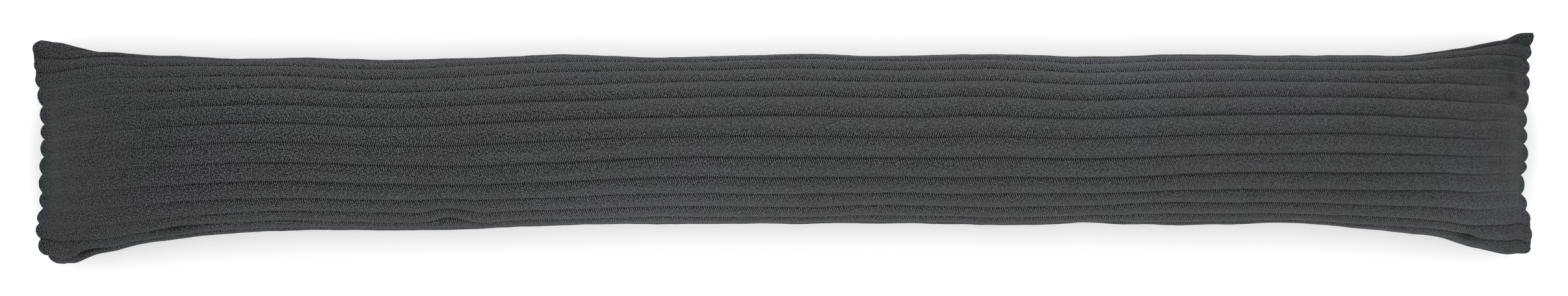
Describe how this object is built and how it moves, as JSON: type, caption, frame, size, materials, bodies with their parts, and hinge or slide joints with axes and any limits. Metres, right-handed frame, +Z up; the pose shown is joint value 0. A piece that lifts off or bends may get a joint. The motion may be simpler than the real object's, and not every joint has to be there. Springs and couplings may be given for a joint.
{
  "type": "draught excluder",
  "caption": "Long filled tube of chunky corded plush, closed by a flat seam at each end, that lies along the foot of a door to stop draughts.",
  "frame": {"origin": "on the floor under the middle of the tube: the centre of its bounding box, at its underside", "axes": "+X along the tube, +Z up out of its upper face"},
  "size_m": [0.9006, 0.138, 0.0929],
  "materials": {
    "corded_plush": "matt short pile with a soft sheen"
  },
  "bodies": {
    "root": {"cushion": "corded_plush"}
  },
  "joints": []
}
